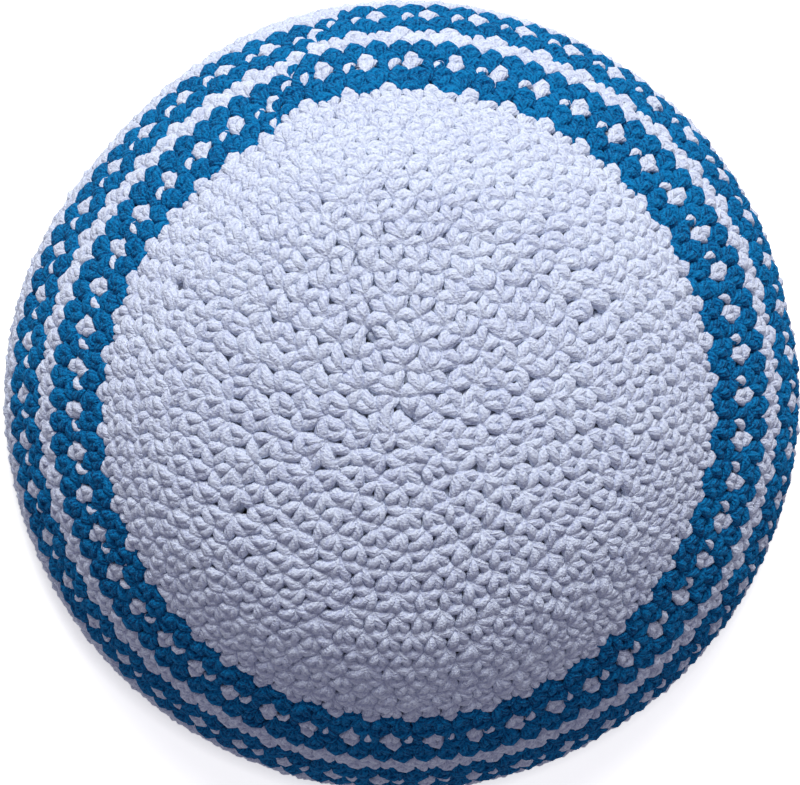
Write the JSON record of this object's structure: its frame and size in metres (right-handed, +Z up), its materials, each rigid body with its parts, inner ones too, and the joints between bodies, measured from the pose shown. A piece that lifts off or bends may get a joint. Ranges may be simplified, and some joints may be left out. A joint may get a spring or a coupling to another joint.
{
  "type": "kippah skullcap",
  "caption": "Round crocheted skullcap in white cotton, with two blue bands spotted in white around its side, worked in rounds of single crochet",
  "frame": {"origin": "the middle of the cap's box on the surface it rests on, in the plane of its rim", "axes": "+Z is up, out of the crown; +Y is the side that the soft crown leans to, the top of the picture; +X is the picture's right"},
  "size_m": [0.1682, 0.1683, 0.0684],
  "materials": {
    "white_yarn": "soft plied cotton yarn, cool white, matt with a faint lilac shade",
    "blue_yarn": "soft plied cotton yarn, medium cerulean blue, matt"
  },
  "bodies": {
    "root": {"crown": "white_yarn", "inner_band": "blue_yarn", "white_ring": "white_yarn", "outer_band": "blue_yarn", "edge": "white_yarn"}
  },
  "joints": []
}
